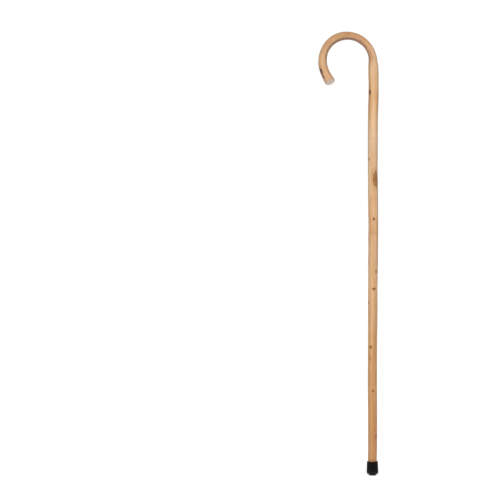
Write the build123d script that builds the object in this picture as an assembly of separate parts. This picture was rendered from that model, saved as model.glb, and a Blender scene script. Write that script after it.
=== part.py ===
from build123d import *
import os
from math import cos, radians, sin, tan

# A walking cane: one wooden stick, steam-bent into a crook at the top, with a rubber ferrule pushed
# over its foot and a steel washer at the bottom of the ferrule's socket.
# Millimetres. +Z is up along the shaft, the crook opens towards -X, and the origin is the centre of
# the ferrule's ground face.

os.makedirs("parts", exist_ok=True)

# Overall size
TOTAL_HEIGHT = 915.0

# Crook: arcs that follow one another from the top of the shaft, each with its radius and its length.
# The first two make the round of the crook, and the last two open it out to the nose.
ARCS = (
    (54.0, 72.0),
    (50.6, 72.0),
    (57.8, 42.0),
    (105.0, 40.0),
)
CROOK_LENGTH = 213.5
CROOK_SPARE = 8.0
CROOK_TOP_THICKNESS = 16.5
NOSE_EDGE_ROUNDING = 1.6
# The crook leaves its own plane: from this length on, it leans towards -Y.
LEAN_START = 54.0
LEAN_AT_NOSE = 14.0
LEAN_POWER = 2.2
# The nose is sawn nearly square: its cut is tipped towards -Y, and turned to face more straight down.
SAW_TILT = 17.0
SAW_TURN = 8.0
SAW_BLOCK = 60.0
STEP_AHEAD = 0.01

# Shaft: its top is as far down as the first two arcs rise to the top of the crook.
FIRST_TURN = ARCS[0][1] / ARCS[0][0]
CROOK_RISE = ARCS[0][0] * sin(FIRST_TURN) + ARCS[1][0] * (1 - sin(FIRST_TURN))
SHAFT_TOP = TOTAL_HEIGHT - CROOK_TOP_THICKNESS / 2 - CROOK_RISE
SHAFT_TOP_DRIFT = 1.2

# Ferrule
FERRULE_HEIGHT = 28.6
FERRULE_MOUTH_RADIUS = 11.4
FERRULE_BASE_RADIUS = 12.15
PAD_RADIUS = 7.4
SOCKET_FLOOR = 7.5
# Corners of its outline, as radius and height
PAD_TOP = (7.9, 2.2)
BASE_CORNER = (11.45, 4.0)
WALL_FOOT = (FERRULE_BASE_RADIUS, 6.4)
MOUTH_RIM = (FERRULE_MOUTH_RADIUS, FERRULE_HEIGHT)
BODY_ROUNDING = 1.2
PAD_ROUNDING = 0.6
TREAD_DEPTH = 0.9
TREAD_WIDTH = 1.1
TREAD_RADII = (3.8, 6.0)

# Washer and foot of the stick
WASHER_THICKNESS = 1.2
WASHER_RADIUS = 8.7
WASHER_HOLE_RADIUS = 3.2
FOOT_RADIUS = 9.0
FOOT_CHAMFER = 0.8
SOCKET_CLEARANCE = 0.05
FOOT_END = SOCKET_FLOOR + WASHER_THICKNESS + SOCKET_CLEARANCE
SOCKET_RADIUS = FOOT_RADIUS + SOCKET_CLEARANCE

# The shaft is a natural stick, so it wanders and swells: height, drift along X, drift along Y, diameter.
SHAFT_STATIONS = (
    (FERRULE_HEIGHT + 0.1, 0.0, 0.0, 18.3),
    (57.0, 0.35, 0.1, 18.7),
    (90.0, 0.4, 0.3, 19.2),
    (146.0, 0.2, 0.5, 19.4),
    (205.0, 0.0, 0.5, 19.4),
    (264.0, 0.2, 0.3, 19.5),
    (323.0, 0.7, 0.0, 20.0),
    (382.0, 1.0, -0.3, 19.9),
    (441.0, 1.2, -0.6, 20.1),
    (500.0, 1.8, -0.5, 19.9),
    (559.0, 1.4, 0.0, 20.4),
    (618.0, 0.7, 0.3, 20.0),
    (677.0, 0.8, 0.0, 20.6),
    (736.0, 1.0, -0.3, 20.5),
    (790.0, 2.4, -0.2, 21.0),
    (826.0, 2.2, -0.1, 21.1),
)

# Bending flattens the stick, and its thick end is the nose: length past the top of the shaft,
# thickness in the crook's plane, width across it.
CROOK_STATIONS = (
    (0.0, 18.2, 19.8),
    (14.0, 16.5, 19.0),
    (33.0, 15.9, 18.4),
    (55.0, 16.2, 18.0),
    (78.0, CROOK_TOP_THICKNESS, 18.0),
    (100.0, 17.4, 18.2),
    (123.0, 17.0, 18.2),
    (145.0, 16.6, 18.0),
    (163.0, 17.4, 18.4),
    (178.0, 18.3, 19.0),
    (192.0, 19.1, 19.8),
    (CROOK_LENGTH - 7.0, 20.6, 20.9),
    (CROOK_LENGTH + CROOK_SPARE, 21.3, 21.5),
)

# Healed branch knots that stand out of the shaft: height, angle round the shaft from -Y towards +X,
# radius of the swelling, how far it stands out.
KNOTS = (
    (598.0, 42.0, 8.0, 0.7),
    (486.0, 235.0, 7.0, 0.8),
    (317.0, 150.0, 7.0, 0.7),
)


def turned(length):
    """Angle in radians that the stick has turned through, a length past the top of the shaft."""
    turn = 0.0
    for radius, arc_length in ARCS:
        turn += min(max(length, 0.0), arc_length) / radius
        length -= arc_length
    return turn


def lean(length):
    """How far the crook has left its plane, a length past the top of the shaft."""
    share = (length - LEAN_START) / (CROOK_LENGTH - LEAN_START)
    return LEAN_AT_NOSE * max(share, 0.0) ** LEAN_POWER


def flat_crook(length):
    """Where the crook's centre line is along X and Z, measured from the top of the shaft."""
    x = 0.0
    z = 0.0
    begun = 0.0
    for radius, arc_length in ARCS:
        start = turned(begun)
        end = turned(min(max(length, begun), begun + arc_length))
        x += radius * (cos(end) - cos(start))
        z += radius * (sin(end) - sin(start))
        begun += arc_length
    return x, z


def crook_point(length):
    """Centre of the crook, a length past the top of the shaft."""
    x, z = flat_crook(length)
    return Vector(SHAFT_TOP_DRIFT + x, -lean(length), SHAFT_TOP + z)


def section(point, ahead, away, thickness, width):
    """An oval section at a point of the stick, square to the way it runs, never thicker than wide."""
    along = (ahead - point).normalized()
    across = along.cross(away).normalized()
    return Plane(origin=point, x_dir=across, z_dir=along) * Ellipse(width / 2, thickness / 2)


def shaft_sections():
    """Round sections up the shaft. They lie level, because the shaft only wanders by a millimetre or two."""
    up = Vector(0, 0, 1)
    right = Vector(1, 0, 0)
    sections = []
    for height, drift_x, drift_y, diameter in SHAFT_STATIONS:
        point = Vector(drift_x, drift_y, height)
        sections.append(section(point, point + up, right, diameter, diameter))
    return sections


def crook_sections():
    """Oval sections round the crook, the last one a little past where the nose is sawn off."""
    sections = []
    for length, thickness, width in CROOK_STATIONS:
        turn = turned(length)
        away = Vector(cos(turn), 0, sin(turn))
        ahead = crook_point(length + STEP_AHEAD)
        sections.append(section(crook_point(length), ahead, away, thickness, width))
    return sections


def saw_off_nose(stick):
    """Cuts the nose almost square to the stick, and rounds its edge."""
    end = crook_point(CROOK_LENGTH)
    along = (crook_point(CROOK_LENGTH + STEP_AHEAD) - end).normalized()
    turned_back = along.rotate(Axis.Y, SAW_TURN)
    facing = (turned_back + Vector(0, -tan(radians(SAW_TILT)), 0)).normalized()
    saw = Plane(origin=end, z_dir=facing)
    waste = saw * Pos(0, 0, 2 * CROOK_SPARE) * Box(SAW_BLOCK, SAW_BLOCK, 4 * CROOK_SPARE)
    stick = stick - waste
    rim = stick.edges().sort_by(lambda edge: (edge.center() - end).length)[0]
    return fillet(rim, NOSE_EDGE_ROUNDING)


def knot(height, angle, radius, proud):
    """A swelling on the shaft where a branch has healed over."""
    nearest = min(SHAFT_STATIONS, key=lambda station: abs(station[0] - height))
    _, drift_x, drift_y, diameter = nearest
    reach = diameter / 2 + proud - radius
    x = drift_x + reach * sin(radians(angle))
    y = drift_y - reach * cos(radians(angle))
    return Pos(x, y, height) * Sphere(radius)


def make_foot():
    """The foot of the stick, turned straight so that it fills the ferrule's socket."""
    length = SHAFT_STATIONS[0][0] - FOOT_END
    foot = Pos(0, 0, FOOT_END + length / 2) * Cylinder(FOOT_RADIUS, length)
    return chamfer(foot.edges().sort_by(Axis.Z)[0], FOOT_CHAMFER)


def make_stick():
    """The whole wooden stick in one solid: foot, shaft with its knots, crook and nose."""
    bend = crook_sections()
    shaft = loft(shaft_sections() + bend[:1])
    for row in KNOTS:
        shaft = shaft + knot(*row)
    crook = saw_off_nose(loft(bend))
    return make_foot() + shaft + crook


def make_ferrule():
    """The rubber cup: flat ground pad, sloping base, tapered wall and a round socket."""
    outline = Polyline(
        (0, 0),
        (PAD_RADIUS, 0),
        PAD_TOP,
        BASE_CORNER,
        WALL_FOOT,
        MOUTH_RIM,
        (SOCKET_RADIUS, FERRULE_HEIGHT),
        (SOCKET_RADIUS, SOCKET_FLOOR),
        (0, SOCKET_FLOOR),
        close=True,
    )
    profile = make_face(outline)
    corners = profile.vertices()
    body_corners = [corners.sort_by_distance(corner)[0] for corner in (BASE_CORNER, WALL_FOOT, MOUTH_RIM)]
    profile = fillet(body_corners, BODY_ROUNDING)
    pad_edge = profile.vertices().sort_by_distance((PAD_RADIUS, 0))[0]
    profile = fillet(pad_edge, PAD_ROUNDING)
    ferrule = revolve(Plane.XZ * profile, Axis.Z)
    for radius in TREAD_RADII:
        ferrule = ferrule - tread_groove(radius)
    return ferrule


def tread_groove(radius):
    """A ring groove in the ground pad."""
    outer = Cylinder(radius + TREAD_WIDTH / 2, 2 * TREAD_DEPTH)
    inner = Cylinder(radius - TREAD_WIDTH / 2, 2 * TREAD_DEPTH)
    return outer - inner


def make_washer():
    """The flat steel washer on the socket's floor."""
    middle = SOCKET_FLOOR + WASHER_THICKNESS / 2
    disc = Cylinder(WASHER_RADIUS, WASHER_THICKNESS)
    hole = Cylinder(WASHER_HOLE_RADIUS, WASHER_THICKNESS)
    return Pos(0, 0, middle) * (disc - hole)


export_step(make_stick(), "parts/wooden_stick.step")
export_step(make_ferrule(), "parts/rubber_ferrule.step")
export_step(make_washer(), "parts/steel_washer.step")
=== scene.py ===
from math import cos, pi, radians, sin, tan

import bpy
import numpy as np
from mathutils import Matrix, Vector, noise


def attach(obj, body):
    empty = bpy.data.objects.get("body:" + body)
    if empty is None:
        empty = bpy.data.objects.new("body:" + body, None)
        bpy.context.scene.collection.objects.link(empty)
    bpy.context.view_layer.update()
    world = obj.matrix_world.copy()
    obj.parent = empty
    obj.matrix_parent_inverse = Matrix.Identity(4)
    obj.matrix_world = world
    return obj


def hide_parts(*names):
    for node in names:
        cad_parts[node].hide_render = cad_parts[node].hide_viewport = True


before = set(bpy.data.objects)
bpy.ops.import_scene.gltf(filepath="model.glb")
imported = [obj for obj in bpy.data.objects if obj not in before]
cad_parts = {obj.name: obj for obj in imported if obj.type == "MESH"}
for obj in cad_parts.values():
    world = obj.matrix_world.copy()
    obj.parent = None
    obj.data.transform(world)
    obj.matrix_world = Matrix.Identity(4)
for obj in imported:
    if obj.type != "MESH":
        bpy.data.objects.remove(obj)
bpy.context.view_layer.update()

# A walking cane: a varnished stick bent into a crook, and a rubber ferrule on its foot. The shapes are
# worked out in millimetres, in the frame of the CAD part, and become metres when a mesh is made.
MM = 0.001

# Crook, as in the CAD part: arcs from the top of the shaft, each with its radius and its length
TOTAL_HEIGHT = 915.0
ARCS = (
    (54.0, 72.0),
    (50.6, 72.0),
    (57.8, 42.0),
    (105.0, 40.0),
)
CROOK_LENGTH = 213.5
CROOK_TOP_THICKNESS = 16.5
FIRST_TURN = ARCS[0][1] / ARCS[0][0]
CROOK_RISE = ARCS[0][0] * sin(FIRST_TURN) + ARCS[1][0] * (1 - sin(FIRST_TURN))
SHAFT_TOP = TOTAL_HEIGHT - CROOK_TOP_THICKNESS / 2 - CROOK_RISE
STICK_END = SHAFT_TOP + CROOK_LENGTH
NOSE_EDGE_ROUNDING = 1.7
LEAN_START = 54.0
LEAN_AT_NOSE = 14.0
LEAN_POWER = 2.2
SAW_TILT = 17.0
SAW_TURN = 8.0

# Ferrule, washer and foot, as in the CAD part
FERRULE_HEIGHT = 28.6
FERRULE_MOUTH_RADIUS = 11.4
FERRULE_BASE_RADIUS = 12.15
PAD_RADIUS = 7.4
SOCKET_FLOOR = 7.5
SOCKET_RADIUS = 9.05
TREAD_DEPTH = 0.9
TREAD_WIDTH = 1.1
TREAD_RADII = (3.8, 6.0)
FOOT_RADIUS = 8.98
FOOT_CHAMFER = 0.8
FOOT_END = 8.75
SHAFT_START = FERRULE_HEIGHT + 0.1

# The shaft isn't quite straight: length along the stick, drift along X, drift along Y.
DRIFT = np.array((
    (0.0, 0.0, 0.0),
    (SHAFT_START, 0.0, 0.0),
    (57.0, 0.35, 0.1),
    (90.0, 0.4, 0.3),
    (146.0, 0.2, 0.5),
    (205.0, 0.0, 0.5),
    (264.0, 0.2, 0.3),
    (323.0, 0.7, 0.0),
    (382.0, 0.8, -0.3),
    (441.0, 1.2, -0.6),
    (500.0, 1.8, -0.5),
    (559.0, 1.4, 0.0),
    (618.0, 0.7, 0.3),
    (677.0, 0.8, 0.0),
    (736.0, 1.0, -0.3),
    (790.0, 2.4, -0.2),
    (826.0, 2.2, -0.1),
    (SHAFT_TOP, 1.2, 0.0),
))

# Length along the stick, thickness in the crook's plane, width across it.
GIRTH = np.array((
    (SHAFT_START, 18.3, 18.3),
    (57.0, 18.7, 18.7),
    (90.0, 19.2, 19.2),
    (146.0, 19.4, 19.4),
    (205.0, 19.4, 19.4),
    (264.0, 19.5, 19.5),
    (323.0, 20.0, 20.0),
    (382.0, 19.6, 19.6),
    (441.0, 20.1, 20.1),
    (500.0, 19.9, 19.9),
    (559.0, 20.4, 20.4),
    (618.0, 20.0, 20.0),
    (677.0, 20.6, 20.6),
    (736.0, 20.5, 20.5),
    (790.0, 20.9, 20.9),
    (808.0, 20.5, 20.5),
    (828.0, 21.1, 21.1),
    (842.0, 20.1, 20.4),
    (SHAFT_TOP, 18.2, 19.8),
    (SHAFT_TOP + 14, 16.5, 19.0),
    (SHAFT_TOP + 33, 15.9, 18.4),
    (SHAFT_TOP + 55, 16.2, 18.0),
    (SHAFT_TOP + 78, CROOK_TOP_THICKNESS, 18.0),
    (SHAFT_TOP + 100, 17.4, 18.2),
    (SHAFT_TOP + 123, 17.0, 18.2),
    (SHAFT_TOP + 145, 16.6, 18.0),
    (SHAFT_TOP + 163, 17.4, 18.4),
    (SHAFT_TOP + 178, 18.3, 19.0),
    (SHAFT_TOP + 192, 19.1, 19.8),
    (STICK_END - 7, 20.6, 20.9),
    (STICK_END, 21.0, 21.2),
))

# Knots: length along the stick, angle round it from -Y towards the crook's outside (+X on the shaft),
# half length, half width, how far the wood swells there, depth of the cut face, darkness.
KNOTS = (
    (610.7, 36.0, 14.0, 5.8, 0.0, 0.7, 0.9),
    (597.0, 46.0, 8.0, 6.0, 0.45, 0.0, 0.0),
    (651.7, -50.0, 2.4, 1.5, 0.15, 0.15, 0.7),
    (528.6, 3.0, 2.7, 1.7, 0.15, 0.15, 1.0),
    (420.5, 33.0, 3.2, 1.8, 0.25, 0.2, 0.6),
    (384.9, 10.0, 2.2, 3.0, 0.25, 0.2, 0.85),
    (356.4, -66.0, 3.0, 1.5, 0.2, 0.15, 0.8),
    (264.8, -28.0, 3.0, 2.3, 0.25, 0.2, 1.0),
    (241.9, -34.0, 5.0, 2.0, 0.1, 0.1, 0.35),
    (174.7, 3.0, 2.4, 1.8, 0.15, 0.15, 1.0),
    (80.1, 44.0, 6.0, 2.4, 0.3, 0.25, 0.5),
    (SHAFT_TOP - 8, 92.0, 4.5, 7.0, 0.45, 0.0, 0.0),
    (SHAFT_TOP + 82, 8.0, 1.8, 1.5, 0.2, 0.1, 0.3),
    (SHAFT_TOP + 109, -40.0, 2.4, 1.7, 0.2, 0.15, 0.5),
    (SHAFT_TOP + 58, 150.0, 4.5, 2.6, 0.35, 0.25, 0.7),
    (SHAFT_TOP + 138, 200.0, 2.2, 1.6, 0.2, 0.15, 0.7),
    (726.0, 205.0, 3.0, 2.0, 0.3, 0.2, 0.8),
    (684.0, 128.0, 2.0, 1.4, 0.2, 0.15, 0.6),
    (560.0, 170.0, 2.4, 1.8, 0.2, 0.15, 0.7),
    (486.0, 235.0, 8.5, 4.5, 0.7, 0.5, 0.8),
    (452.0, 150.0, 1.8, 1.2, 0.15, 0.15, 0.6),
    (317.0, 150.0, 7.5, 4.0, 0.6, 0.45, 0.75),
    (214.0, 215.0, 2.4, 1.6, 0.2, 0.15, 0.8),
    (128.0, 130.0, 3.6, 2.2, 0.3, 0.2, 0.6),
    (60.0, 232.0, 2.0, 1.5, 0.2, 0.15, 0.7),
)

# Scars: length along the stick, angle round it, half length, half width, depth, darkness. Those
# darker than 0.6 are torn open as well as stained.
SCARS = (
    (789.8, -50.0, 6.0, 2.1, 0.35, 1.0),
    (783.8, -52.0, 17.0, 2.6, 0.05, 0.5),
    (SHAFT_TOP + 186.5, 50.0, 5.8, 3.0, 0.4, 1.0),
    (SHAFT_TOP + 194.5, 47.0, 3.4, 1.7, 0.25, 0.9),
    (SHAFT_TOP + 199.5, 45.0, 3.6, 1.8, 0.3, 1.0),
    (SHAFT_TOP + 206, 44.0, 4.0, 1.6, 0.1, 0.5),
    (SHAFT_TOP + 66, -58.0, 16.0, 2.0, 0.05, 0.3),
    (SHAFT_TOP + 14, -62.0, 12.0, 1.6, 0.05, 0.35),
    # The next four wide faint stains on the crook's front and inner side are partly the wood's colour and
    # partly painted shade under the bend.
    (SHAFT_TOP + 13, -28.0, 12.0, 5.5, 0.05, 0.6),
    (SHAFT_TOP + 20, -75.0, 24.0, 7.0, 0.05, 0.6),
    (SHAFT_TOP + 52, -66.0, 26.0, 6.0, 0.05, 0.55),
    (SHAFT_TOP + 88, -75.0, 22.0, 5.0, 0.05, 0.5),
    (77.0, 2.0, 11.0, 2.4, 0.05, 0.3),
    (640.0, 165.0, 9.0, 0.8, 0.3, 0.8),
    (404.0, 205.0, 6.0, 0.8, 0.25, 0.9),
    (158.0, 190.0, 8.0, 0.7, 0.2, 0.7),
    (268.0, 110.0, 5.0, 0.8, 0.2, 0.8),
)

# Growth nodes right round the stick: length along it, swelling, depth of the crease.
NODES = (
    (758.0, 0.10, 0.05),
    (694.0, 0.12, 0.05),
    (571.0, 0.10, 0.05),
    (500.0, 0.16, 0.16),
    (430.0, 0.10, 0.05),
    (349.0, 0.12, 0.08),
    (286.0, 0.08, 0.05),
    (190.0, 0.12, 0.10),
    (112.0, 0.08, 0.05),
)

# Gentle unevenness of the whole surface: height, size along the stick, size round it, seed.
UNEVENNESS = (
    (0.22, 95.0, 14.0, 1.3),
    (0.10, 130.0, 5.0, 7.7),
    (0.05, 17.0, 6.0, 4.1),
    (0.02, 30.0, 1.6, 9.2),
)

# The inside of the crook is darker: painted shade on the underside of the bend, where the light from above
# doesn't reach. Each pair says where that is nothing yet, and where it is full.
DARK_INSIDE_BELOW = (SHAFT_TOP - 15, SHAFT_TOP + 20)
DARK_INSIDE_AT_NOSE = (STICK_END - 25, STICK_END - 60)

# Knots with this half length or more are healed faces without a dark heart.
HEARTLESS_HALF_LENGTH = 10.0
# How far the nose's end face is rough from the saw
SAW_ROUGHNESS = 0.15

# Mesh fineness
STICK_SEGMENTS = 96
FINE_STEP = 0.9
COARSE_STEP = 2.0
FERRULE_SEGMENTS = 168
FERRULE_STEP = 0.7

# Flat layout of the stick for baking: its unrolled length is cut into strips that lie side by side
STRIP_WIDTH = 64.0
STRIP_COUNT = 4
GAP = 2.0

# Stage: the camera looks level along +Y
CAMERA_AT = (-0.2526, -3.5, 0.4647)
VIEW_WIDTH = 1.0316
SENSOR_WIDTH = 36.0
DOME_RADIUS = 30.0
FLOOR_GLOW = 0.5
FLOOR_PALE = (0.92, 0.92, 0.92, 1)
FLOOR_DULL = (0.9, 0.9, 0.9, 1)
FILL_FROM_ABOVE = 0.17
FILL_FROM_BELOW = 0.62

# Suns, which light without shine: name, strength, width in degrees, and the azimuth and elevation that
# they shine from. Azimuths run from -Y towards +X.
SUNS = (
    ("key", 2.9, 50, -7, 30),
    ("back", 1.6, 20, 180, 8),
)

# Lamps, which shine in the varnish too: name, shape, width, height, power, azimuth, elevation, distance.
LAMPS = (
    ("softbox", "RECTANGLE", 0.25, 1.6, 5.5, -54, 8, 2.2),
    ("rim", "DISK", 0.5, 0.5, 0.9, 62, 38, 0.9),
)
SUN_DISTANCE = 4.0
LIGHTS_AIM = (0, 0, 0.6 * TOTAL_HEIGHT * MM)

# Colours, as 0 to 255 on a screen. The first group multiplies the wood's tone, and the second covers it.
STREAKS = (226, 196, 170)
PATCHES = (236, 220, 200)
RUDDY = (255, 236, 216)
OLIVE = (238, 240, 218)
FIBRES = (214, 186, 160)
# Painted shade on the underside of the crook
CROOK_UNDERSIDE_SHADE = (200, 186, 176)

PALE_FIBRES = (236, 206, 172)
PORES = (120, 76, 44)
KNOT_HALO = (176, 120, 66)
KNOT_FACE = (176, 122, 56)
KNOT_FACE_DARK = (140, 90, 36)
KNOT_RIPPLE = (122, 74, 28)
KNOT_RING = (124, 70, 26)
KNOT_HEART = (74, 32, 8)
# Stains, and the painted shade on the crook
STAIN_AND_SHADE = (156, 100, 60)
TORN_EDGE = (112, 68, 36)
TORN_DARK = (24, 14, 8)
TORN_PALE = (58, 36, 20)
NODE_BAND = (176, 112, 70)
HOLLOW_DARK_TINT = (112, 74, 48)
MOUTH_DIRT = (96, 66, 44)

EARLY_WOOD = (255, 232, 214)
LATE_WOOD = (252, 216, 195)
VESSELS = (176, 142, 120)
END_STAINS = (216, 190, 172)

RUBBER_DARK = (4, 4, 5)
RUBBER_PALE = (9, 9, 9)
RUBBER_BLOOM = (18, 18, 18)
RUBBED_RUBBER = (92, 86, 78)
DUST = (88, 82, 74)

ZINC = (186, 188, 190)
ZINC_DULL = (146, 148, 152)
RUST = (118, 78, 50)


def linear(red, green, blue):
    """A colour given as 0 to 255 on a screen, as the linear values that shaders take."""
    values = []
    for level in (red, green, blue):
        share = level / 255
        values.append(share / 12.92 if share <= 0.04045 else ((share + 0.055) / 1.055) ** 2.4)
    return (*values, 1.0)


# ---------------------------------------------------------------- curves and fields on the stick

def smooth_through(stations, column, where):
    """A column of the stations joined by a smooth curve, read at some lengths along the stick."""
    place = stations[:, 0]
    value = stations[:, column]
    slope = np.gradient(value, place)
    where = np.clip(where, place[0], place[-1])
    after = np.clip(np.searchsorted(place, where), 1, len(place) - 1)
    before = after - 1
    gap = place[after] - place[before]
    t = (where - place[before]) / gap
    leaving = (2 * t**3 - 3 * t**2 + 1) * value[before] + (t**3 - 2 * t**2 + t) * gap * slope[before]
    arriving = (3 * t**2 - 2 * t**3) * value[after] + (t**3 - t**2) * gap * slope[after]
    return leaving + arriving


def unit(vectors):
    return vectors / np.linalg.norm(vectors, axis=-1, keepdims=True)


def smooth_step(low, high, value):
    share = np.clip((value - low) / (high - low), 0, 1)
    return share * share * (3 - 2 * share)


def centre_line(along):
    """Centre of the stick at some lengths along it, and how far the stick has turned there."""
    length = along - SHAFT_TOP
    turn = np.zeros(along.shape)
    x = smooth_through(DRIFT, 1, along)
    z = np.minimum(along, SHAFT_TOP)
    begun = 0.0
    for radius, arc_length in ARCS:
        ahead = turn + np.clip(length - begun, 0, arc_length) / radius
        x += radius * (np.cos(ahead) - np.cos(turn))
        z += radius * (np.sin(ahead) - np.sin(turn))
        turn = ahead
        begun += arc_length
    share = np.clip((length - LEAN_START) / (CROOK_LENGTH - LEAN_START), 0, None)
    y = smooth_through(DRIFT, 2, along) - LEAN_AT_NOSE * share**LEAN_POWER
    return np.stack((x, y, z), axis=-1), turn


def directions(along):
    """Centre, direction of travel, direction away from the crook's middle, and direction across."""
    step = 0.5
    centre, turn = centre_line(along)
    travel = unit(centre_line(along + step)[0] - centre_line(along - step)[0])
    away = np.stack((np.cos(turn), np.zeros_like(turn), np.sin(turn)), axis=-1)
    away = unit(away - travel * np.sum(away * travel, axis=-1, keepdims=True))
    return centre, travel, away, np.cross(travel, away)


def turned_from(angle, facing):
    """Signed angle from a direction given in degrees, between half a turn back and half a turn on."""
    return (angle - radians(facing) + pi) % (2 * pi) - pi


def oval_distance(along, angle, radius, place, facing, half_length, half_width):
    """Distance from a mark's middle, 1 at its edge."""
    return np.hypot((along - place) / half_length, turned_from(angle, facing) * radius / half_width)


def wavy(along, angle, lengthwise, around, seed):
    """Smooth noise on the stick's surface, seamless round it, with its size along and round it in mm."""
    reach = 10.0 / around
    spots = np.stack((reach * np.cos(angle), reach * np.sin(angle), along / lengthwise), axis=-1)
    spots = spots.reshape(-1, 3) + np.array((seed, 2 * seed, 3 * seed))
    values = [noise.noise(Vector(spot)) for spot in spots]
    return np.array(values).reshape(along.shape)


# ---------------------------------------------------------------- meshes made of rings

def tube_piece(name, points, fields, body, material):
    """A smooth closed mesh over rings of points, with both ends filled, that rides on a body."""
    rings, columns = points.shape[:2]
    row, column = np.meshgrid(np.arange(rings - 1), np.arange(columns), indexing="ij")
    here = row * columns + column
    beside = row * columns + (column + 1) % columns
    quads = np.stack((here, beside, beside + columns, here + columns), axis=-1).reshape(-1, 4)
    first_middle = rings * columns
    last_ring = (rings - 1) * columns
    faces = [tuple(quad) for quad in quads.tolist()]
    for place in range(columns):
        following = (place + 1) % columns
        faces.append((following, place, first_middle))
        faces.append((last_ring + place, last_ring + following, first_middle + 1))
    mesh = bpy.data.meshes.new(name)
    mesh.from_pydata((with_middles(points) * MM).tolist(), [], faces)
    mesh.polygons.foreach_set("use_smooth", [True] * len(mesh.polygons))
    mesh.materials.append(material)
    for field, values in fields.items():
        add_field(mesh, field, with_middles(values))
    piece = bpy.data.objects.new(name, mesh)
    bpy.context.scene.collection.objects.link(piece)
    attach(piece, body)
    return piece


def with_middles(values):
    """The values at every point in one row, and after them the mean of the first and of the last ring."""
    width = values.shape[2:]
    return np.concatenate((values.reshape(-1, *width), values[[0, -1]].mean(axis=1)))


def add_field(mesh, name, values):
    """Stores one number, or one vector, for each point of a mesh."""
    if values.ndim == 2:
        field = mesh.attributes.new(name, "FLOAT_VECTOR", "POINT")
        field.data.foreach_set("vector", values.astype(np.float32).ravel())
    else:
        field = mesh.attributes.new(name, "FLOAT", "POINT")
        field.data.foreach_set("value", values.astype(np.float32))


def path_of(points):
    """Mean distance over the surface from the first ring to each ring."""
    steps = np.linalg.norm(np.diff(points, axis=0), axis=-1).mean(axis=1)
    return np.concatenate(([0.0], np.cumsum(steps)))


def lay_flat(mesh, points, islands, strip_width, side):
    """Lays a tube's surface out flat in a square for baking: each island is a strip or an end's disc."""
    rings, columns = points.shape[:2]
    path = path_of(points)
    row, column, corner = np.meshgrid(np.arange(rings - 1), np.arange(columns), np.arange(4), indexing="ij")
    row = row + (corner >= 2)
    share = (column + ((corner == 1) | (corner == 2))) / columns
    spots = np.zeros((*row.shape, 2))
    caps = np.zeros((columns, 2, 3, 2))
    turn = np.arange(columns + 1) / columns * 2 * pi
    for kind, first, last, left, bottom in islands:
        if kind == "strip":
            u = left + share * strip_width
            v = bottom + path[row] - path[first]
        else:
            end = 0 if first == 0 else -1
            reach = np.linalg.norm(points[end] - points[end].mean(axis=0), axis=-1).mean()
            distance = np.abs(path[row] - path[end]) + reach
            u = left + distance * np.cos(share * 2 * pi)
            v = bottom + distance * np.sin(share * 2 * pi)
            rim = np.stack((left + reach * np.cos(turn), bottom + reach * np.sin(turn)), axis=-1)
            caps[:, end, 0] = rim[1:] if end == 0 else rim[:-1]
            caps[:, end, 1] = rim[:-1] if end == 0 else rim[1:]
            caps[:, end, 2] = (left, bottom)
        spots[first:last] = np.stack((u, v), axis=-1)[first:last]
    flat = np.concatenate((spots.reshape(-1, 2), caps.reshape(-1, 2)))
    layer = mesh.uv_layers.new(name="OFBake")
    layer.data.foreach_set("uv", ((flat + GAP / 2) / side).astype(np.float32).ravel())


# ---------------------------------------------------------------- the stick

def add_nodes(height, along, angle):
    """Adds the growth nodes to the height, and returns the field for how dark their creases are."""
    band = np.zeros(along.shape)
    wander = 3.0 * wavy(along, angle, 40.0, 9.0, 2.9)
    deepest = max(crease for _, _, crease in NODES)
    for place, swelling, crease in NODES:
        past = along - place + wander
        height += swelling * np.exp(-(((past - 4.0) / 9.0) ** 2))
        height -= crease * np.exp(-((past / 0.9) ** 2)) * (0.6 + 0.4 * np.cos(angle + place))
        band = np.maximum(band, crease / deepest * np.exp(-((past / 2.5) ** 2)))
    return {"band": band}


def add_knots(height, along, angle, radius):
    """Adds the knots to the height, and returns the fields for their colours."""
    knot_edge = np.full(along.shape, 4.0)
    knot_dark = np.zeros(along.shape)
    knot_heart = np.zeros(along.shape)
    for place, facing, half_length, half_width, swelling, cut, darkness in KNOTS:
        distance = oval_distance(along, angle, radius, place, facing, half_length, half_width)
        height += swelling * np.exp(-((distance / 1.7) ** 2))
        height -= cut * np.clip(1 - distance**2, 0, 1) ** 0.7
        height += 0.25 * cut * np.exp(-(((distance - 1.05) / 0.25) ** 2))
        nearest = (distance < knot_edge) & (darkness > 0)
        heart = darkness * (half_length < HEARTLESS_HALF_LENGTH)
        knot_edge = np.where(nearest, distance, knot_edge)
        knot_dark = np.where(nearest, darkness, knot_dark)
        knot_heart = np.where(nearest, heart, knot_heart)
    return {"knot_edge": knot_edge, "knot_dark": knot_dark, "knot_heart": knot_heart}


def add_scars(height, along, angle, radius):
    """Cuts the scars into the height, and returns the fields for their colours."""
    stain_and_shade = np.zeros(along.shape)
    cut = np.zeros(along.shape)
    for place, facing, half_length, half_width, depth, darkness in SCARS:
        distance = oval_distance(along, angle, radius, place, facing, half_length, half_width)
        height -= depth * np.exp(-((distance / 0.75) ** 2))
        height += 0.2 * depth * np.exp(-(((distance - 1.3) / 0.35) ** 2))
        stain_and_shade = np.maximum(stain_and_shade, darkness * smooth_step(2.2, 0.5, distance))
        torn_open = smooth_step(0.6, 0.9, darkness)
        cut = np.maximum(cut, torn_open * smooth_step(1.3, 0.3, distance))
    return {"stain_and_shade": stain_and_shade, "cut": cut}


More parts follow.
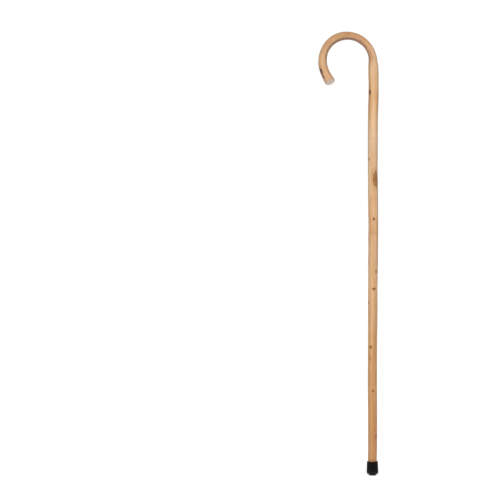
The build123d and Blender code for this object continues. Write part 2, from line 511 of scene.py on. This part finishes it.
def stick_relief(along, angle, radius):
    """How far the surface stands out from a smooth stick, and the fields that its colours follow."""
    height = np.zeros(along.shape)
    for rise, lengthwise, around, seed in UNEVENNESS:
        height += rise * wavy(along, angle, lengthwise, around, seed)
    band = add_nodes(height, along, angle)
    knots = add_knots(height, along, angle, radius)
    scars = add_scars(height, along, angle, radius)
    # Painted shade on the inside of the crook, darker on the underside of the bend
    bent = smooth_step(*DARK_INSIDE_BELOW, along) * smooth_step(*DARK_INSIDE_AT_NOSE, along)
    painted_shade_inside = {"painted_shade_inside": bent * smooth_step(0.1, 1.0, -np.sin(angle))}
    return height, {**painted_shade_inside, **band, **knots, **scars}


def straight_coordinates(along, angle, radius):
    """Where each point lies in the stick before it was bent, with the grain parting round the knots."""
    parted = angle.copy()
    for place, facing, half_length, half_width, _, _, _ in KNOTS:
        distance = oval_distance(along, angle, radius, place, facing, 2.2 * half_length, half_width)
        parted -= 0.55 * turned_from(angle, facing) * np.exp(-((distance / 1.4) ** 2))
    return np.stack((radius * np.sin(parted), -radius * np.cos(parted), along), axis=-1) * MM


def shaft_rings():
    """Rings from the ferrule's mouth to the nose, closer together at marks and at the nose.

    A ring is its length along the stick, how far it is drawn in, and how much of it is sawn wood.
    """
    marks = [(mark[0], mark[2]) for mark in KNOTS + SCARS]
    marks += [(node[0], 3.0) for node in NODES]
    marks.append((STICK_END, 12.0))
    rings = []
    place = SHAFT_START
    while place < STICK_END - NOSE_EDGE_ROUNDING - 0.4:
        rings.append((place, 0, 0))
        near_mark = any(abs(place - middle) < 1.3 * half + 1 for middle, half in marks)
        place += FINE_STEP if near_mark else COARSE_STEP
    return rings


def foot_rings():
    """Rings of the foot's end face and of its side up to the shaft, and the number of the face's edge."""
    face_radius = FOOT_RADIUS - FOOT_CHAMFER
    shares = (0.97, 0.8, 0.6, 0.4, 0.2, 0.05)
    rings = [(FOOT_END, FOOT_CHAMFER + face_radius * share, 1) for share in shares]
    edge = len(rings)
    rings.append((FOOT_END, FOOT_CHAMFER, 1))
    for share in (0.1, 0.5, 0.9, 1.0):
        rings.append((FOOT_END + FOOT_CHAMFER * share, FOOT_CHAMFER * (1 - share), 0.5))
    rings += [(place, 0, 0) for place in np.linspace(FOOT_END + 1.5, SHAFT_START - 0.3, 14)]
    return rings, edge


def nose_rings():
    """Rings of the nose's rounded edge and of its sawn end face, and the number of the face's edge."""
    rings = []
    for step in range(9):
        angle = step / 8 * pi / 2
        drawn_in = NOSE_EDGE_ROUNDING * (1 - cos(angle))
        place = STICK_END - NOSE_EDGE_ROUNDING * (1 - sin(angle))
        rings.append((place, drawn_in, max(step - 4, 0) / 4))
    edge = len(rings) - 1
    face_radius = GIRTH[-1, 1] / 2 - NOSE_EDGE_ROUNDING
    for share in (0.04, 0.12, 0.24, 0.36, 0.48, 0.6, 0.72, 0.84, 0.93, 0.98):
        rings.append((STICK_END, NOSE_EDGE_ROUNDING + face_radius * share, 1))
    return rings, edge


def saw_shift(along, out, travel):
    """Slides the last rings into the plane of the saw cut across the nose."""
    end_travel = Vector(directions(np.array([STICK_END]))[1][0])
    end_travel.rotate(Matrix.Rotation(radians(SAW_TURN), 3, "Y"))
    facing = unit(np.array(end_travel) + (0, -tan(radians(SAW_TILT)), 0))
    weight = smooth_step(STICK_END - 14, STICK_END - 1, along)
    slide = -(out @ facing) / (travel @ facing)
    return (weight * slide)[..., None] * travel


def stick_surface(rings):
    """Points of the rings and the fields for their colours, as arrays with one row for each ring."""
    turn = np.arange(STICK_SEGMENTS) / STICK_SEGMENTS * 2 * pi
    along, angle = np.meshgrid(rings[:, 0], turn, indexing="ij")
    drawn_in, _ = np.meshgrid(rings[:, 1], turn, indexing="ij")
    sawn, _ = np.meshgrid(rings[:, 2], turn, indexing="ij")
    in_socket = along < SHAFT_START
    half_thick = np.where(in_socket, FOOT_RADIUS, smooth_through(GIRTH, 1, along) / 2)
    half_wide = np.where(in_socket, FOOT_RADIUS, smooth_through(GIRTH, 2, along) / 2)
    radius = (half_thick + half_wide) / 2
    height, fields = stick_relief(along, angle, radius)
    height *= smooth_step(SHAFT_START, SHAFT_START + 6, along) * (1 - sawn)
    scale = 1 + (height - drawn_in) / radius
    centre, travel, away, across = directions(along)
    out = (half_thick * scale * np.sin(angle))[..., None] * away
    out -= (half_wide * scale * np.cos(angle))[..., None] * across
    points = centre + out + saw_shift(along, out, travel)
    roughness = SAW_ROUGHNESS * wavy(40 * scale, angle, 6.0, 4.0, 5.5) * (sawn >= 1) * (along > SHAFT_TOP)
    points += roughness[..., None] * travel
    fields["straight"] = straight_coordinates(along, angle, radius * scale)
    fields["sawn"] = sawn
    fields["along"] = along / STICK_END
    fields["hollow"] = np.clip(-height, 0, 1)
    return points, fields


def make_stick(material):
    """The whole wooden stick as one closed mesh."""
    foot, foot_edge = foot_rings()
    nose, nose_edge = nose_rings()
    shaft = shaft_rings()
    nose_edge += len(foot) + len(shaft)
    points, fields = stick_surface(np.array(foot + shaft + nose))
    piece = tube_piece("stick", points, fields, "stick", material)
    path = path_of(points)
    cuts = np.searchsorted(path, np.linspace(path[foot_edge], path[nose_edge], STRIP_COUNT + 1))
    islands = []
    for number in range(STRIP_COUNT):
        islands.append(("strip", cuts[number], cuts[number + 1], number * (STRIP_WIDTH + GAP), 0))
    side = STRIP_COUNT * (STRIP_WIDTH + GAP)
    islands.append(("disc", 0, foot_edge, side + 12, 12))
    islands.append(("disc", nose_edge, len(points) - 1, side + 12, 38))
    lay_flat(piece.data, points, islands, STRIP_WIDTH, side + 26)
    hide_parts("wooden_stick")


# ---------------------------------------------------------------- the ferrule

def rounded(corners):
    """Points of an outline through corners given as radius, height and rounding."""
    points = [Vector(corners[0][:2])]
    for before, corner, after in zip(corners, corners[1:], corners[2:]):
        here = Vector(corner[:2])
        back = (Vector(before[:2]) - here).normalized()
        onward = (Vector(after[:2]) - here).normalized()
        half = back.angle(onward) / 2
        centre = here + (back + onward).normalized() * corner[2] / sin(half)
        first = here + back * corner[2] / tan(half) - centre
        last = here + onward * corner[2] / tan(half) - centre
        for step in range(6):
            spoke = first.lerp(last, step / 5).normalized() * corner[2]
            points.append(centre + spoke)
    points.append(Vector(corners[-1][:2]))
    return points


def divided(points, longest):
    """The same outline with its long stretches cut into short ones."""
    fine = [points[0]]
    for start, end in zip(points, points[1:]):
        count = max(1, round((end - start).length / longest))
        fine += [start.lerp(end, (number + 1) / count) for number in range(count)]
    return fine


def ferrule_corners():
    """Radius, height and rounding at each corner, from under the ferrule round to its socket's floor."""
    corners = [(0.35, 0.0, 0.0)]
    for radius in TREAD_RADII:
        inner = radius - TREAD_WIDTH / 2
        outer = radius + TREAD_WIDTH / 2
        corners += [(inner, 0.0, 0.2), (inner + 0.1, TREAD_DEPTH, 0.25)]
        corners += [(outer - 0.1, TREAD_DEPTH, 0.25), (outer, 0.0, 0.2)]
    corners += [
        (PAD_RADIUS, 0.0, 0.35),
        (PAD_RADIUS + 0.5, 2.2, 1.2),
        (FERRULE_BASE_RADIUS - 0.7, 4.0, 1.1),
        (FERRULE_BASE_RADIUS, 6.4, 1.2),
        (FERRULE_MOUTH_RADIUS, FERRULE_HEIGHT, 0.75),
        (SOCKET_RADIUS + 0.35, FERRULE_HEIGHT, 0.15),
        (SOCKET_RADIUS, FERRULE_HEIGHT - 0.6, 0.2),
        (SOCKET_RADIUS, SOCKET_FLOOR, 0.2),
        (0.35, SOCKET_FLOOR, 0.0),
    ]
    return corners


def ferrule_surface(outline, mouth):
    """Points of the ferrule and the fields for its colours, with the unevenness of moulded rubber."""
    turn = np.arange(FERRULE_SEGMENTS) / FERRULE_SEGMENTS * 2 * pi
    radius, angle = np.meshgrid(outline[:, 0], turn, indexing="ij")
    level, _ = np.meshgrid(outline[:, 1], turn, indexing="ij")
    number, _ = np.meshgrid(np.arange(len(outline)), turn, indexing="ij")
    on_wall = (number < mouth) & (level > 2.5)
    seam = np.abs(np.sin(angle)) ** 400
    shift = 0.06 * wavy(level, angle, 9.0, 8.0, 3.3)
    shift += 0.10 * seam * smooth_step(FERRULE_HEIGHT, FERRULE_HEIGHT - 3, level)
    nicks = smooth_step(0.25, 0.6, wavy(level, angle, 1.6, 1.6, 8.8))
    shift -= 0.25 * nicks * np.exp(-(((level - 3.2) / 1.6) ** 2))
    radius = radius + shift * on_wall
    points = np.stack((radius * np.sin(angle), -radius * np.cos(angle), level), axis=-1)
    worn = np.exp(-((level / 4.5) ** 2)) + 0.5 * np.exp(-(((level - FERRULE_HEIGHT) / 0.8) ** 2))
    fields = {
        "worn": worn * (number < mouth + 8),
        "dusty": np.exp(-(((level - 7.4) / 0.8) ** 2)) * on_wall,
    }
    return points, fields


def make_ferrule(material):
    """The rubber ferrule as one closed mesh, turned from its outline."""
    outline = np.array(divided(rounded(ferrule_corners()), FERRULE_STEP))
    mouth = int(np.argmax(outline[:, 1]))
    points, fields = ferrule_surface(outline, mouth)
    piece = tube_piece("ferrule", points, fields, "ferrule", material)
    path = path_of(points)
    pad_edge = int(np.argmax(outline[:, 0] > PAD_RADIUS))
    floor_edge = int(np.argmax((np.arange(len(outline)) > mouth) & (outline[:, 0] < SOCKET_RADIUS - 0.3)))
    wall_length = path[mouth] - path[pad_edge]
    socket_length = path[floor_edge] - path[mouth]
    strip_width = 2 * pi * FERRULE_BASE_RADIUS
    pad_reach = path[pad_edge] + 1
    floor_reach = path[-1] - path[floor_edge] + 1
    discs_level = wall_length + socket_length + 2 * GAP + max(pad_reach, floor_reach)
    islands = [
        ("strip", pad_edge, mouth, 0, 0),
        ("strip", mouth, floor_edge, 0, wall_length + GAP),
        ("disc", 0, pad_edge, pad_reach, discs_level),
        ("disc", floor_edge, len(outline) - 1, 2 * pad_reach + GAP + floor_reach, discs_level),
    ]
    side = max(strip_width, discs_level + max(pad_reach, floor_reach)) + GAP
    lay_flat(piece.data, points, islands, strip_width, side)
    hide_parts("rubber_ferrule")


# ---------------------------------------------------------------- materials

class Graph:
    """Short ways to add shader nodes to a material and join them."""

    def __init__(self, name):
        self.material = bpy.data.materials.new(name)
        self.material.use_nodes = True
        self.tree = self.material.node_tree
        self.shader = self.tree.nodes["Principled BSDF"]

    def node(self, kind, **settings):
        made = self.tree.nodes.new(kind)
        for name, value in settings.items():
            setattr(made, name, value)
        return made

    def feed(self, socket, value):
        """Joins an output to a socket, or sets the socket to a plain value.

        A colour of three values is as on a screen, and one of four is linear already.
        """
        if isinstance(value, bpy.types.NodeSocket):
            self.tree.links.new(value, socket)
        elif isinstance(value, tuple) and len(value) == 3:
            socket.default_value = linear(*value)
        else:
            socket.default_value = value

    def field(self, name, output="Fac"):
        return self.node("ShaderNodeAttribute", attribute_name=name).outputs[output]

    def math(self, operation, first, second=0.0):
        made = self.node("ShaderNodeMath", operation=operation)
        self.feed(made.inputs[0], first)
        self.feed(made.inputs[1], second)
        return made.outputs[0]

    def times(self, first, second):
        return self.math("MULTIPLY", first, second)

    def plus(self, first, second):
        return self.math("ADD", first, second)

    def minus(self, first, second):
        return self.math("SUBTRACT", first, second)

    def stretched(self, vector, factors):
        made = self.node("ShaderNodeVectorMath", operation="MULTIPLY")
        self.feed(made.inputs[0], vector)
        made.inputs[1].default_value = factors
        return made.outputs[0]

    def pushed(self, vector, push, amount):
        """A vector moved by another one, such as noise, times a plain amount."""
        made = self.node("ShaderNodeVectorMath", operation="MULTIPLY_ADD")
        self.feed(made.inputs[0], push)
        made.inputs[1].default_value = (amount, amount, amount)
        self.feed(made.inputs[2], vector)
        return made.outputs[0]

    def noise(self, vector, factors, detail=2.0, roughness=0.5, output="Fac"):
        made = self.node("ShaderNodeTexNoise", noise_dimensions="3D")
        self.feed(made.inputs["Vector"], self.stretched(vector, factors))
        made.inputs["Scale"].default_value = 1.0
        made.inputs["Detail"].default_value = detail
        made.inputs["Roughness"].default_value = roughness
        return made.outputs[output]

    def spread(self, value, low, high, to_low=0.0, to_high=1.0):
        """A value carried smoothly from one range to another, without going past its ends."""
        made = self.node("ShaderNodeMapRange", interpolation_type="SMOOTHSTEP")
        self.feed(made.inputs[0], value)
        for socket, number in zip(made.inputs[1:5], (low, high, to_low, to_high)):
            socket.default_value = number
        return made.outputs[0]

    def ramp(self, value, stops):
        """Colours as on a screen, blended from stop to stop."""
        made = self.node("ShaderNodeValToRGB")
        self.feed(made.inputs[0], value)
        elements = made.color_ramp.elements
        while len(elements) < len(stops):
            elements.new(0.5)
        for element, (place, colour) in zip(elements, stops):
            element.position = place
            element.color = linear(*colour)
        return made.outputs[0]

    def mix(self, share, first, second, blend="MIX"):
        made = self.node("ShaderNodeMix", data_type="RGBA", blend_type=blend)
        self.feed(made.inputs[0], share)
        self.feed(made.inputs[6], first)
        self.feed(made.inputs[7], second)
        return made.outputs[2]

    def bump(self, height, strength, distance, under=None):
        made = self.node("ShaderNodeBump")
        made.inputs["Strength"].default_value = strength
        made.inputs["Distance"].default_value = distance
        self.feed(made.inputs["Height"], height)
        if under is not None:
            self.feed(made.inputs["Normal"], under)
        return made.outputs[0]


# Varnished wood: share of the stick's length, and the colour there. It grows darker and more saturated
# towards the foot, partly the wood's own tone and partly painted shade where the light falls off down the
# stick.
WOOD_TONES_WITH_FALLOFF_SHADE = (
    (0.03, (189, 138, 84)),
    (0.10, (194, 147, 94)),
    (0.15, (201, 157, 105)),
    (0.20, (204, 161, 110)),
    (0.25, (205, 162, 110)),
    (0.30, (207, 167, 123)),
    (0.36, (217, 182, 140)),
    (0.42, (215, 179, 139)),
    (0.48, (219, 176, 134)),
    (0.55, (224, 190, 150)),
    (0.60, (223, 192, 156)),
    (0.65, (224, 193, 160)),
    (0.70, (222, 186, 144)),
    (0.73, (217, 173, 127)),
    (0.79, (220, 187, 149)),
    (0.82, (218, 182, 144)),
    (0.855, (201, 159, 122)),
    (0.89, (195, 156, 112)),
    (0.92, (199, 161, 120)),
    (0.945, (212, 176, 136)),
    (1.00, (208, 165, 128)),
)


def wood_grain(graph, place):
    """Long streaks, fibres and pores over a tone that drifts along the stick, partly painted shade towards
    the foot, and painted shade inside the crook.
    """
    tone = graph.ramp(graph.field("along"), WOOD_TONES_WITH_FALLOFF_SHADE)
    warped = graph.pushed(place, graph.noise(place, (60, 60, 20), output="Color"), 0.0011)
    streaks = graph.spread(graph.noise(warped, (260, 260, 7), 3, 0.6), 0.38, 0.68)
    tone = graph.mix(graph.times(streaks, 0.55), tone, STREAKS, "MULTIPLY")
    patches = graph.spread(graph.noise(place, (45, 45, 24), 3), 0.35, 0.7)
    tone = graph.mix(graph.times(patches, 0.35), tone, PATCHES, "MULTIPLY")
    ruddy = graph.spread(graph.noise(warped, (150, 150, 5), 2), 0.45, 0.62)
    tone = graph.mix(graph.times(ruddy, 0.4), tone, RUDDY, "MULTIPLY")
    olive = graph.spread(graph.noise(warped, (170, 170, 6), 2), 0.52, 0.4)
    tone = graph.mix(graph.times(olive, 0.4), tone, OLIVE, "MULTIPLY")
    fibres = graph.noise(warped, (1100, 1100, 26), 3, 0.65)
    tone = graph.mix(graph.spread(fibres, 0.42, 0.72, 0.0, 0.3), tone, FIBRES, "MULTIPLY")
    # Painted shade on the underside of the crook
    tone = graph.mix(graph.times(graph.field("painted_shade_inside"), 0.9), tone, CROOK_UNDERSIDE_SHADE, "MULTIPLY")
    pale_fibres = graph.noise(warped, (1500, 1500, 34), 2, 0.6)
    tone = graph.mix(graph.spread(pale_fibres, 0.55, 0.8, 0.0, 0.25), tone, PALE_FIBRES)
    pores = graph.spread(graph.noise(warped, (2600, 2600, 150), 1), 0.66, 0.78)
    tone = graph.mix(graph.times(pores, 0.45), tone, PORES)
    return tone, streaks, fibres, pores


def knot_marks(graph, tone, place, wobble):
    """Knots, from a wide halo in to a rippled face, its ring and its heart: the tone and their relief."""
    knot_edge = graph.plus(graph.field("knot_edge"), wobble)
    knot_dark = graph.field("knot_dark")
    halo = graph.times(graph.spread(knot_edge, 2.3, 0.9), knot_dark)
    tone = graph.mix(graph.times(halo, 0.55), tone, KNOT_HALO)
    face = graph.times(graph.spread(knot_edge, 1.15, 0.75), knot_dark)
    knot_grain = graph.noise(place, (1300, 1300, 500), 4, 0.65)
    face_tone = graph.mix(graph.spread(knot_grain, 0.35, 0.65), KNOT_FACE, KNOT_FACE_DARK)
    bent_edge = graph.plus(knot_edge, graph.times(knot_grain, 0.25))
    ripple = graph.math("SINE", graph.times(bent_edge, 21.0))
    face_tone = graph.mix(graph.spread(ripple, 0.2, 1.0, 0.0, 0.5), face_tone, KNOT_RIPPLE)
    tone = graph.mix(graph.times(face, 0.85), tone, face_tone)
    ring = graph.times(graph.spread(knot_edge, 0.75, 1.0), graph.spread(knot_edge, 1.25, 1.0))
    tone = graph.mix(graph.times(graph.times(ring, knot_dark), 0.75), tone, KNOT_RING)
    heart = graph.times(graph.spread(knot_edge, 0.95, 0.5), graph.field("knot_heart"))
    tone = graph.mix(graph.times(heart, 0.9), tone, KNOT_HEART)
    return tone, graph.times(face, graph.times(ripple, 0.12))


def scar_marks(graph, tone, place, fibres, wobble):
    """Stains, some of them partly painted shade on the crook, and wood torn open along the grain: the tone
    and its relief.
    """
    cut = graph.field("cut")
    # Stains, with painted shade on the crook among them
    stain_and_shade = graph.times(graph.field("stain_and_shade"), graph.spread(wobble, 0.15, -0.15, 0.4, 0.75))
    tone = graph.mix(stain_and_shade, tone, STAIN_AND_SHADE)
    splinters = graph.minus(graph.noise(place, (1200, 1200, 180), 4, 0.7), 0.5)
    splinters = graph.plus(graph.times(splinters, 1.5), graph.times(wobble, 0.5))
    torn = graph.plus(cut, graph.times(splinters, graph.spread(cut, 0.0, 0.2)))
    tone = graph.mix(graph.spread(torn, 0.12, 0.4, 0.0, 0.8), tone, TORN_EDGE)
    bare = graph.mix(graph.spread(fibres, 0.4, 0.6), TORN_DARK, TORN_PALE)
    tone = graph.mix(graph.spread(torn, 0.32, 0.55), tone, bare)
    return tone, graph.spread(torn, 0.3, 0.9, 0.0, -1.0)


def wood_marks(graph, tone, place, fibres):
    """Knots, scars, growth bands and darker hollows: the tone over them and their relief."""
    wobble = graph.times(graph.minus(graph.noise(place, (420, 420, 260), 3, 0.6), 0.5), 0.9)
    tone, knots_relief = knot_marks(graph, tone, place, wobble)
    tone, scars_relief = scar_marks(graph, tone, place, fibres, wobble)
    band = graph.times(graph.field("band"), graph.spread(fibres, 0.3, 0.6, 0.1, 0.3))
    tone = graph.mix(band, tone, NODE_BAND)
    # Darker in the hollows, the more the deeper they are
    hollow_darkening = graph.spread(graph.field("hollow"), 0.15, 0.6, 0.0, 0.35)
    return graph.mix(hollow_darkening, tone, HOLLOW_DARK_TINT), graph.plus(knots_relief, scars_relief)


def end_grain(graph, place):
    """Growth rings, vessels and saw marks on the sawn ends: their colour and their relief."""
    flat = graph.stretched(place, (1.0, 1.0, 0.0))
    bent = graph.pushed(flat, graph.noise(flat, (160, 160, 0), output="Color"), 0.0022)
    rings = graph.node("ShaderNodeTexWave", wave_type="RINGS", rings_direction="SPHERICAL")
    graph.feed(rings.inputs["Vector"], bent)
    rings.inputs["Scale"].default_value = 160.0
    rings.inputs["Distortion"].default_value = 1.5
    rings.inputs["Detail"].default_value = 2.0
    growth = graph.spread(rings.outputs["Fac"], 0.3, 0.9, 0.0, 0.4)
    vessels = graph.spread(graph.noise(flat, (3200, 3200, 0)), 0.56, 0.7)
    tone = graph.mix(growth, EARLY_WOOD, LATE_WOOD)
    tone = graph.mix(graph.times(vessels, 0.2), tone, VESSELS)
    stains = graph.spread(graph.noise(flat, (140, 140, 0), 3), 0.45, 0.75, 0.0, 0.3)
    tone = graph.mix(stains, tone, END_STAINS)
    saw_marks = graph.noise(flat, (90, 1800, 0), 1)
    return tone, graph.minus(saw_marks, graph.times(vessels, 0.8))


def wood_material():
    """Varnished chestnut, bare where it is sawn."""
    graph = Graph("varnished_wood")
    place = graph.field("straight", "Vector")
    sawn = graph.field("sawn")
    tone, streaks, fibres, pores = wood_grain(graph, place)
    tone, marks_relief = wood_marks(graph, tone, place, fibres)
    smudges = graph.spread(graph.noise(place, (300, 300, 300), 3), 0.3, 0.6, 0.3, 1.0)
    mouth_dirt = graph.times(graph.spread(graph.field("along"), 0.034, 0.027), smudges)
    tone = graph.mix(graph.times(mouth_dirt, 0.55), tone, MOUTH_DIRT)
    end_tone, end_relief = end_grain(graph, place)
    graph.feed(graph.shader.inputs["Base Color"], graph.mix(sawn, tone, end_tone))
    roughness = graph.plus(graph.spread(streaks, 0.0, 1.0, 0.36, 0.46), graph.times(pores, 0.15))
    roughness = graph.plus(roughness, graph.times(graph.field("cut"), 0.2))
    graph.feed(graph.shader.inputs["Roughness"], graph.plus(roughness, graph.times(sawn, 0.1)))
    graph.shader.inputs["Coat Weight"].default_value = 0.35
    graph.shader.inputs["Coat Roughness"].default_value = 0.18
    relief = graph.minus(graph.times(fibres, 0.6), pores)
    normal = graph.bump(marks_relief, 0.6, 0.0006)
    normal = graph.bump(relief, 0.22, 0.00012, normal)
    normal = graph.bump(graph.times(end_relief, sawn), 0.25, 0.0002, normal)
    graph.feed(graph.shader.inputs["Normal"], normal)
    return graph.material


def rubber_material():
    """Black moulded rubber, scuffed and dusty where it meets the ground."""
    graph = Graph("black_rubber")
    place = graph.node("ShaderNodeTexCoord").outputs["Object"]
    fine = graph.noise(place, (2200, 2200, 2200), 3, 0.6)
    cloudy = graph.noise(place, (180, 180, 120), 4, 0.6)
    tone = graph.mix(graph.spread(cloudy, 0.3, 0.75), RUBBER_DARK, RUBBER_PALE)
    tone = graph.mix(graph.spread(fine, 0.5, 0.75, 0.0, 0.3), tone, RUBBER_BLOOM)
    rubbed = graph.times(graph.field("worn"), graph.spread(cloudy, 0.38, 0.68))
    tone = graph.mix(graph.times(rubbed, 0.55), tone, RUBBED_RUBBER)
    dust = graph.times(graph.field("dusty"), graph.spread(cloudy, 0.35, 0.7, 0.2, 0.8))
    tone = graph.mix(graph.times(dust, 0.35), tone, DUST)
    graph.feed(graph.shader.inputs["Base Color"], tone)
    roughness = graph.plus(graph.spread(cloudy, 0.3, 0.7, 0.36, 0.5), graph.times(rubbed, 0.3))
    graph.feed(graph.shader.inputs["Roughness"], roughness)
    graph.shader.inputs["Specular IOR Level"].default_value = 0.12
    scratches = graph.times(graph.noise(place, (500, 500, 3000), 2, 0.6), graph.field("worn"))
    normal = graph.bump(scratches, 0.35, 0.00015, graph.bump(fine, 0.25, 0.00006))
    graph.feed(graph.shader.inputs["Normal"], normal)
    return graph.material


def washer_material():
    """Zinc-plated steel with dull patches and specks of rust."""
    graph = Graph("washer_steel")
    place = graph.node("ShaderNodeTexCoord").outputs["Object"]
    patches = graph.noise(place, (420, 420, 420), 3, 0.6)
    tone = graph.mix(graph.spread(patches, 0.35, 0.7), ZINC, ZINC_DULL)
    specks = graph.spread(graph.noise(place, (1500, 1500, 1500), 3, 0.7), 0.62, 0.74)
    tone = graph.mix(graph.times(specks, 0.6), tone, RUST)
    graph.feed(graph.shader.inputs["Base Color"], tone)
    graph.shader.inputs["Metallic"].default_value = 1.0
    graph.feed(graph.shader.inputs["Roughness"], graph.spread(patches, 0.3, 0.75, 0.3, 0.55))
    graph.feed(graph.shader.inputs["Normal"], graph.bump(patches, 0.2, 0.0001))
    return graph.material


# ---------------------------------------------------------------- stage

def make_camera():
    camera = bpy.data.objects.new("camera", bpy.data.cameras.new("camera"))
    camera.data.sensor_width = SENSOR_WIDTH
    camera.data.lens = SENSOR_WIDTH * -CAMERA_AT[1] / VIEW_WIDTH
    camera.location = CAMERA_AT
    camera.rotation_euler = (pi / 2, 0, 0)
    bpy.context.scene.collection.objects.link(camera)
    bpy.context.scene.camera = camera


def make_floor():
    """A wide pale floor at the level that the ferrule stands on, which stays under it when it moves."""
    graph = Graph("floor")
    place = graph.node("ShaderNodeTexCoord").outputs["Object"]
    clouds = graph.noise(place, (1.5, 1.5, 1.5), 3)
    tone = graph.mix(clouds, FLOOR_PALE, FLOOR_DULL)
    graph.feed(graph.shader.inputs["Base Color"], tone)
    graph.shader.inputs["Roughness"].default_value = 0.9
    graph.shader.inputs["Specular IOR Level"].default_value = 0.1
    graph.shader.inputs["Emission Color"].default_value = (1, 1, 1, 1)
    graph.shader.inputs["Emission Strength"].default_value = FLOOR_GLOW
    bpy.ops.mesh.primitive_circle_add(vertices=64, radius=2 * DOME_RADIUS, fill_type="NGON")
    floor = bpy.context.object
    floor.name = "floor"
    floor.data.materials.append(graph.material)
    floor.visible_diffuse = False
    floor.visible_shadow = False
    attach(floor, "ferrule")


def make_dome():
    """A white backdrop all round, which is seen but lights nothing."""
    graph = Graph("backdrop")
    graph.shader.inputs["Base Color"].default_value = (0, 0, 0, 1)
    graph.shader.inputs["Emission Color"].default_value = (1, 1, 1, 1)
    graph.shader.inputs["Emission Strength"].default_value = 1.0
    bpy.ops.mesh.primitive_uv_sphere_add(segments=48, ring_count=24, radius=DOME_RADIUS)
    dome = bpy.context.object
    dome.name = "backdrop"
    dome.data.materials.append(graph.material)
    dome.visible_diffuse = False
    dome.visible_glossy = False
    dome.visible_transmission = False
    dome.visible_shadow = False


def place_light(light, azimuth, elevation, distance):
    """Places a light in a direction seen from the stick, facing it."""
    lamp = bpy.data.objects.new(light.name, light)
    level = cos(radians(elevation))
    away = Vector((sin(radians(azimuth)) * level, -cos(radians(azimuth)) * level, sin(radians(elevation))))
    lamp.location = Vector(LIGHTS_AIM) + away * distance
    lamp.rotation_euler = away.to_track_quat("Z", "Y").to_euler()
    bpy.context.scene.collection.objects.link(lamp)
    return lamp


def make_fill():
    """An even light from all round, stronger from below, where the white floor throws it up."""
    world = bpy.data.worlds.new("studio")
    bpy.context.scene.world = world
    world.use_nodes = True
    nodes = world.node_tree.nodes
    links = world.node_tree.links
    heading = nodes.new("ShaderNodeSeparateXYZ")
    links.new(nodes.new("ShaderNodeTexCoord").outputs["Generated"], heading.inputs[0])
    fill = nodes.new("ShaderNodeMapRange")
    links.new(heading.outputs["Z"], fill.inputs[0])
    for socket, number in zip(fill.inputs[1:5], (-1, 0, FILL_FROM_BELOW, FILL_FROM_ABOVE)):
        socket.default_value = number
    nodes["Background"].inputs["Color"].default_value = (1, 1, 1, 1)
    links.new(fill.outputs[0], nodes["Background"].inputs["Strength"])


def make_lights():
    """The suns and the lamps of the studio."""
    for name, strength, width, azimuth, elevation in SUNS:
        sun = bpy.data.lights.new(name, "SUN")
        sun.energy = strength
        sun.angle = radians(width)
        place_light(sun, azimuth, elevation, SUN_DISTANCE).visible_glossy = False
    for name, shape, width, height, power, azimuth, elevation, distance in LAMPS:
        lamp = bpy.data.lights.new(name, "AREA")
        lamp.shape = shape
        lamp.size = width
        lamp.size_y = height
        lamp.energy = power
        place_light(lamp, azimuth, elevation, distance)


def finish_washer():
    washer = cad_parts["steel_washer"]
    washer.data.materials.clear()
    washer.data.materials.append(washer_material())


bpy.context.scene.view_settings.view_transform = "Standard"
make_camera()
make_fill()
make_lights()
make_dome()
make_floor()
make_stick(wood_material())
make_ferrule(rubber_material())
finish_washer()
